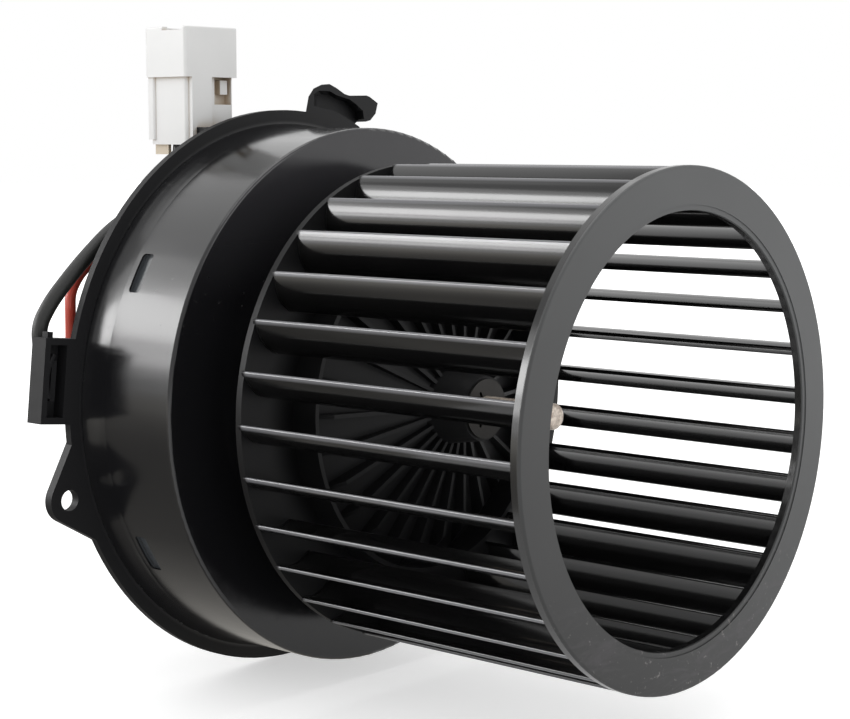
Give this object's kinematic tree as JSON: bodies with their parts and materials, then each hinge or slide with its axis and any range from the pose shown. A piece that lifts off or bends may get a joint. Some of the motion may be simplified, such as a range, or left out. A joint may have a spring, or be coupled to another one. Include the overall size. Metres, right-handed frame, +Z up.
{
  "type": "car cabin blower motor",
  "caption": "Cabin air blower: a tall forward-curved wheel on a brush motor, in a round housing with a rim, screw ears and a short lead.",
  "frame": {"origin": "on the shaft's axis, in the plane of the mounting rim's front face", "axes": "+X along the shaft towards the air inlet, +Z up towards the electrical connector"},
  "size_m": [0.2045, 0.2019, 0.2101],
  "materials": {
    "wheel_plastic": "satin moulded",
    "housing_plastic": "satin moulded",
    "cover_plastic": "satin moulded",
    "shaft_steel": "ground",
    "clip_steel": "pressed",
    "case_steel": "zinc plated",
    "core_steel": "stacked sheet",
    "winding_copper": "enamelled",
    "commutator_copper": "turned",
    "washer_plastic": "plain",
    "magnet_ferrite": "sintered",
    "spring_steel": "wire",
    "bearing_bronze": "sintered",
    "holder_plastic": "moulded",
    "brush_carbon": "pressed",
    "terminal_brass": "stamped",
    "isolator_rubber": "matte",
    "grommet_rubber": "matte",
    "screw_steel": "plated",
    "black_insulation": "satin",
    "red_insulation": "satin",
    "sleeve_braid": "braided",
    "connector_white": "moulded",
    "lock_ivory": "moulded"
  },
  "bodies": {
    "housing": {"motor_housing": "housing_plastic", "rear_cover": "cover_plastic", "motor_case": "case_steel", "end_plate": "case_steel", "upper_magnet": "magnet_ferrite", "lower_magnet": "magnet_ferrite", "magnet_clips": "spring_steel", "brush_springs": "spring_steel", "front_bearing": "bearing_bronze", "rear_bearing": "bearing_bronze", "brush_holder": "holder_plastic", "left_brush": "brush_carbon", "right_brush": "brush_carbon", "motor_terminals": "terminal_brass", "connector_terminals": "terminal_brass", "front_isolator": "isolator_rubber", "rear_isolator": "isolator_rubber", "lead_grommet": "grommet_rubber", "cover_screws": "screw_steel", "black_lead": "black_insulation", "red_lead": "red_insulation", "lead_sleeve": "sleeve_braid", "connector_housing": "connector_white", "connector_lock": "lock_ivory"},
    "rotor": {"blower_wheel": "wheel_plastic", "wheel_clip": "clip_steel", "motor_shaft": "shaft_steel", "armature_core": "core_steel", "armature_winding": "winding_copper", "commutator": "commutator_copper", "thrust_washers": "washer_plastic"}
  },
  "joints": [
    {"name": "wheel_spin", "type": "hinge", "parent": "housing", "child": "rotor", "pos_m": [0, 0, 0], "axis": [1, 0, 0], "continuous": true}
  ]
}
